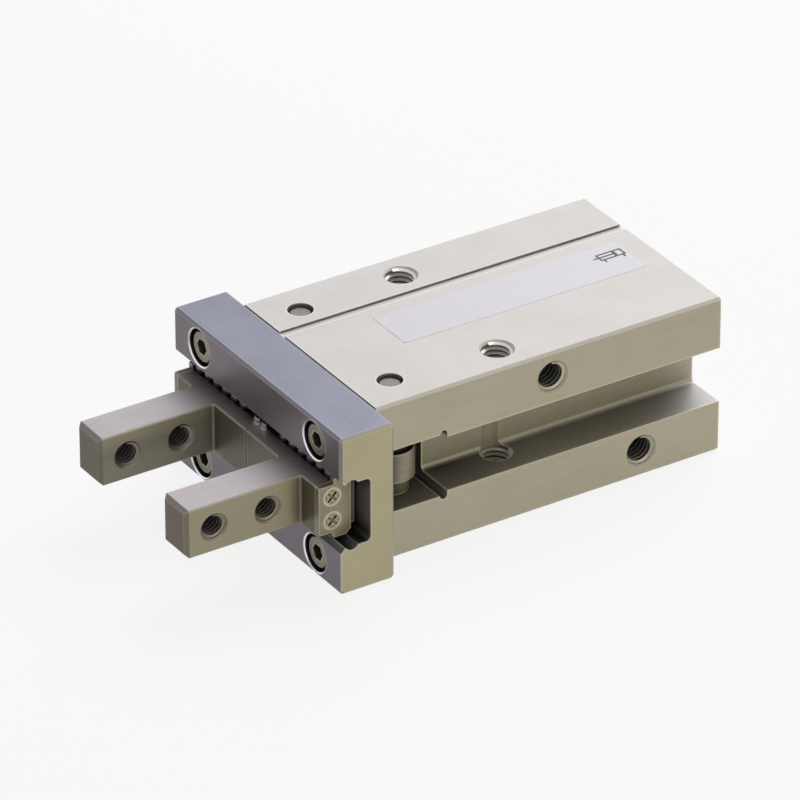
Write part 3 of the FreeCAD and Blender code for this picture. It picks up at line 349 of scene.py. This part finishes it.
# Polyester label film: a cool white with a soft gloss, set off from the warmer metal.
label_film = moulded("label_film", "#F3F1FA", "#EDEBF5", roughness=0.32, grain_mm=0.5, depth_mm=0.001)
# Screen ink: near black, and a little duller than the film.
label_ink = moulded("label_ink", "#2A2A2E", "#232327", roughness=0.45, grain_mm=0.3, depth_mm=0.001)

FINISHES = {
    "body": anodised, "piston": anodised, "guide": guide_steel, "guide_screws": screw_steel,
    "lever_shafts": shaft_steel, "end_cap": cap_resin, "cap_gasket": seal_rubber,
    "retaining_ring": spring_steel, "rod_seal": seal_rubber, "piston_seal": seal_rubber,
    "magnet_ring": magnet_rubber, "bumper": urethane, "piston_rod": rod_steel, "rod_end": rod_steel,
}
PAIRED_FINISHES = {
    "finger": finger_steel, "end_plate": plate_steel, "plate_screws": screw_steel,
    "lever": lever_steel, "ball_stops": pin_steel, "upper_balls": ball_steel,
    "lower_balls": ball_steel,
}


def dress(piece, material):
    """Give a piece its one material."""
    piece.data.materials.clear()
    piece.data.materials.append(material)


for piece_name, finish in PAIRED_FINISHES.items():
    for side in SIDES:
        FINISHES[f"{piece_name}_{side}"] = finish
for piece_name, finish in FINISHES.items():
    dress(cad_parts[piece_name], finish)


def close_mesh():
    """Turn the faces of the piece in edit mode outwards and leave that mode."""
    bpy.ops.mesh.select_all(action="SELECT")
    bpy.ops.mesh.normals_make_consistent(inside=False)
    bpy.ops.object.mode_set(mode="OBJECT")


def finish_piece(piece, body, material):
    """Apply a piece's place to its mesh, give it its material and let it ride on its body."""
    bpy.ops.object.transform_apply(location=True, rotation=True, scale=True)
    dress(piece, material)
    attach(piece, body)


# Radius and pitch of the metric threads.
M3, M2_5 = (1.5, 0.5), (1.25, 0.45)
# A ridge is a triangle. Its corners' distance from its middle is a share of the pitch, and its root is
# sunk in the wall by a hair.
RIDGE_CORNERS, RIDGE_SHARE, RIDGE_SINK = 3, 0.36, 0.02
RIDGE_STEPS = 28
RIDGE_CREASE = math.radians(40)
# A ridge starts this far below the mouth.
THREAD_LEAD = 0.25


def cut_thread(name, body, material, mouth, outward, size, length):
    """The ridge of an internal right-hand thread: a triangle wound down the wall from the mouth."""
    radius, pitch = size
    ridge = RIDGE_SHARE * pitch
    wall = radius + RIDGE_SINK - ridge / 2
    bpy.ops.object.select_all(action="DESELECT")
    bpy.ops.mesh.primitive_circle_add(vertices=RIDGE_CORNERS, radius=ridge * MM,
                                      location=(wall * MM, 0, 0),
                                      rotation=(math.pi / 2, -math.pi / 2, 0))
    piece = bpy.context.object
    piece.name = name
    bpy.ops.object.transform_apply(location=True, rotation=True, scale=True)
    wind = piece.modifiers.new("wind", "SCREW")
    wind.axis = "Z"
    wind.angle = -2 * math.pi
    wind.screw_offset = -pitch * MM
    wind.iterations = int(length / pitch)
    wind.steps = wind.render_steps = RIDGE_STEPS
    bpy.ops.object.modifier_apply(modifier=wind.name)
    # A face closes each end of the ridge.
    count = len(piece.data.vertices)
    for end in (range(RIDGE_CORNERS), range(count - RIDGE_CORNERS, count)):
        bpy.ops.object.mode_set(mode="EDIT")
        bpy.ops.mesh.select_all(action="DESELECT")
        bpy.ops.object.mode_set(mode="OBJECT")
        for index in end:
            piece.data.vertices[index].select = True
        bpy.ops.object.mode_set(mode="EDIT")
        bpy.ops.mesh.edge_face_add()
        bpy.ops.object.mode_set(mode="OBJECT")
    bpy.ops.object.mode_set(mode="EDIT")
    close_mesh()
    bpy.ops.object.shade_smooth_by_angle(angle=RIDGE_CREASE)
    piece.rotation_euler = Vector(outward).to_track_quat("Z", "X").to_euler()
    piece.location = (Vector(mouth) - THREAD_LEAD * Vector(outward)) * MM
    finish_piece(piece, body, material)


# Faces that the threaded holes open in, from the middle: the body's top and sides, the fingers' sides.
TOP, BODY_SIDE, FINGER_SIDE = 8.2, 11.5, 9.6
# Places of the holes, and how deep their threads go.
MOUNT_ASIDE, MOUNT_AHEAD, MOUNT_DEEP = 8.2, 22.7, 5.0
REAR_ASIDE, REAR_UP, REAR_DEEP = 8.5, 5.5, 5.0
FINGER_HOLES, FINGER_DEEP = (("front", 54.0), ("back", 48.3)), 3.6
PORTS, PORT_DEEP = (("closing", 18.7, 5.525), ("opening", 8.7, -5.525)), 4.0

for side, sign in SIDES.items():
    for face, up in (("upper", 1), ("lower", -1)):
        cut_thread(f"mount_thread_{face}_{side}", "housing", tapped_aluminium,
                   (sign * MOUNT_ASIDE, -MOUNT_AHEAD, up * TOP), (0, 0, up), M3, MOUNT_DEEP)
    cut_thread(f"rear_thread_{side}", "housing", tapped_aluminium,
               (sign * REAR_ASIDE, 0, sign * REAR_UP), (0, 1, 0), M3, REAR_DEEP)
    for hole, ahead in FINGER_HOLES:
        cut_thread(f"finger_thread_{hole}_{side}", f"finger_{side}", tapped_steel,
                   (sign * FINGER_SIDE, -ahead, 0), (sign, 0, 0), M2_5, FINGER_DEEP)
for port, ahead, up in PORTS:
    cut_thread(f"{port}_port_thread", "housing", port_aluminium,
               (BODY_SIDE, -ahead, up), (1, 0, 0), M3, PORT_DEEP)


def thicken(thickness):
    """Raise the flat piece in edit mode to its thickness and close it."""
    bpy.ops.mesh.select_all(action="SELECT")
    bpy.ops.mesh.extrude_region_move(TRANSFORM_OT_translate={"value": (0, 0, thickness * MM)})
    close_mesh()


FILM = 0.03
LABEL_WIDE, LABEL_LONG = 5.6, 26.9
LABEL_AHEAD = 15.8
LABEL_CORNER, CORNER_STEPS = 0.15, 4


def make_label():
    """Blank film with rounded corners on the body's top face."""
    bpy.ops.object.select_all(action="DESELECT")
    bpy.ops.mesh.primitive_plane_add(size=1, location=(0, -LABEL_AHEAD * MM, TOP * MM))
    label = bpy.context.object
    label.name = "label_film"
    label.scale = (LABEL_WIDE * MM, LABEL_LONG * MM, 1)
    bpy.ops.object.transform_apply(location=True, rotation=True, scale=True)
    bpy.ops.object.mode_set(mode="EDIT")
    bpy.ops.mesh.select_all(action="SELECT")
    bpy.ops.mesh.bevel(offset=LABEL_CORNER * MM, segments=CORNER_STEPS, affect="VERTICES")
    thicken(FILM)
    finish_piece(label, "housing", label_film)


# Strokes of the symbol for a double acting cylinder: across and ahead of its centre, wide and long.
STROKES = (
    (-0.5, 0, 0.2, 2.8), (0.5, 0, 0.2, 2.8), (0, -1.3, 0.8, 0.2), (0, 1.3, 0.8, 0.2),
    (0, -0.45, 0.8, 0.32), (0, 0.455, 0.2, 1.49), (0, 1.65, 0.2, 0.5),
    (0.8, -1.05, 0.4, 0.2), (0.8, 1.05, 0.4, 0.2),
)
SYMBOL_ACROSS, SYMBOL_AHEAD = -0.8, 4.1
INK = 0.008


def make_symbol():
    """The cylinder symbol, printed on the label's rear end."""
    bpy.ops.object.select_all(action="DESELECT")
    strokes = []
    for across, ahead, wide, long in STROKES:
        bpy.ops.mesh.primitive_plane_add(size=1, location=(
            (SYMBOL_ACROSS + across) * MM, -(SYMBOL_AHEAD + ahead) * MM, (TOP + FILM) * MM))
        bpy.context.object.scale = (wide * MM, long * MM, 1)
        strokes.append(bpy.context.object)
    for stroke in strokes:
        stroke.select_set(True)
    bpy.ops.object.join()
    symbol = bpy.context.object
    symbol.name = "label_symbol"
    bpy.ops.object.transform_apply(location=True, rotation=True, scale=True)
    bpy.ops.object.mode_set(mode="EDIT")
    thicken(INK)
    finish_piece(symbol, "housing", label_ink)


make_label()
make_symbol()

# Keeps the floor apart from the faces that rest on it.
FLOOR_GAP = 0.02
FLOOR_SIZE_M = 4
# The share of the floor's look that is plain white. The rest takes the shadow.
FLOOR_WHITE = 0.86
FILL_STRENGTH = 0.17
LAMP_AWAY_M = 0.6
OBJECT_MIDDLE_M = Vector((0, -0.028, 0))


def seen_rays(tree):
    """1 for rays from the eye, in reflections and through clear pieces, 0 for those that only light."""
    ray = add_node(tree, "ShaderNodeLightPath")
    seen = add_node(tree, "ShaderNodeMath", {"operation": "ADD"},
                    links={0: ray.outputs["Is Camera Ray"], 1: ray.outputs["Is Glossy Ray"]})
    seen = add_node(tree, "ShaderNodeMath", {"operation": "ADD", "use_clamp": True},
                    links={0: seen.outputs["Value"], 1: ray.outputs["Is Transmission Ray"]})
    return seen.outputs["Value"]


def make_floor():
    """A floor that shows white with a soft shadow, and throws a duller light back at the object."""
    bpy.ops.mesh.primitive_plane_add(size=FLOOR_SIZE_M, location=(0, 0, -(TOP + FLOOR_GAP) * MM))
    floor = bpy.context.object
    floor.name = "floor"
    material = bpy.data.materials.new("white_floor")
    material.use_nodes = True
    tree = material.node_tree
    tree.nodes.clear()
    seen = seen_rays(tree)
    share = add_node(tree, "ShaderNodeMath", {"operation": "MULTIPLY"}, values={1: FLOOR_WHITE},
                     links={0: seen})
    paint = add_node(tree, "ShaderNodeMix", {"data_type": "RGBA"},
                     values={"A": linear("#A39E8C"), "B": linear("#FAFAFA")},
                     links={"Factor": seen})
    matt = add_node(tree, "ShaderNodeBsdfDiffuse", links={"Color": paint.outputs["Result"]})
    white = add_node(tree, "ShaderNodeEmission", values={"Color": WHITE, "Strength": 1.0})
    mixed = add_node(tree, "ShaderNodeMixShader",
                     links={0: share.outputs["Value"], 1: matt.outputs["BSDF"],
                            2: white.outputs["Emission"]})
    add_node(tree, "ShaderNodeOutputMaterial", links={"Surface": mixed.outputs["Shader"]})
    floor.data.materials.append(material)


def make_world():
    """White all round to the eye and in reflections, and a faint warm fill on the object."""
    world = bpy.data.worlds.new("studio")
    world.use_nodes = True
    tree = world.node_tree
    tree.nodes.clear()
    fill = add_node(tree, "ShaderNodeBackground",
                    values={"Color": linear("#ECE2C8"), "Strength": FILL_STRENGTH})
    white = add_node(tree, "ShaderNodeBackground", values={"Color": WHITE, "Strength": 1.0})
    mixed = add_node(tree, "ShaderNodeMixShader",
                     links={0: seen_rays(tree), 1: fill.outputs["Background"],
                            2: white.outputs["Background"]})
    add_node(tree, "ShaderNodeOutputWorld", links={"Surface": mixed.outputs["Shader"]})
    bpy.context.scene.world = world


def add_softbox(name, direction, wide, tall, power, colour):
    """A rectangular lamp that faces the object."""
    aim = Vector(direction).normalized()
    bpy.ops.object.light_add(type="AREA", location=aim * LAMP_AWAY_M + OBJECT_MIDDLE_M,
                             rotation=aim.to_track_quat("Z", "Y").to_euler())
    lamp = bpy.context.object
    lamp.name = name
    lamp.data.shape = "RECTANGLE"
    lamp.data.size = wide
    lamp.data.size_y = tall
    lamp.data.energy = power
    lamp.data.color = linear(colour)[:3]


make_floor()
make_world()
# A broad lamp above and behind for the top faces, and a low warm one for the right sides.
add_softbox("overhead_softbox", (-0.3, 0.55, 0.78), wide=0.5, tall=0.5, power=2.98, colour="#FAFBFF")
add_softbox("right_fill", (0.97, 0.2, 0.09), wide=0.25, tall=0.09, power=0.8, colour="#F8F0B4")

# The photograph's viewing angle, as fitted to the edges of body, guide and fingers.
CAMERA_PLACE_M = (0.52199, -0.36070, 0.36145)
CAMERA_TURN = [math.radians(angle) for angle in (59.7455, 0.0701, 57.4467)]
SENSOR_WIDE, LENS_LONG = 36, 348.18
NEAREST_M = 0.05

bpy.ops.object.camera_add(location=CAMERA_PLACE_M, rotation=CAMERA_TURN)
camera = bpy.context.object
camera.data.sensor_width = SENSOR_WIDE
camera.data.lens = LENS_LONG
camera.data.clip_start = NEAREST_M
bpy.context.scene.camera = camera
bpy.context.scene.view_settings.view_transform = "Standard"
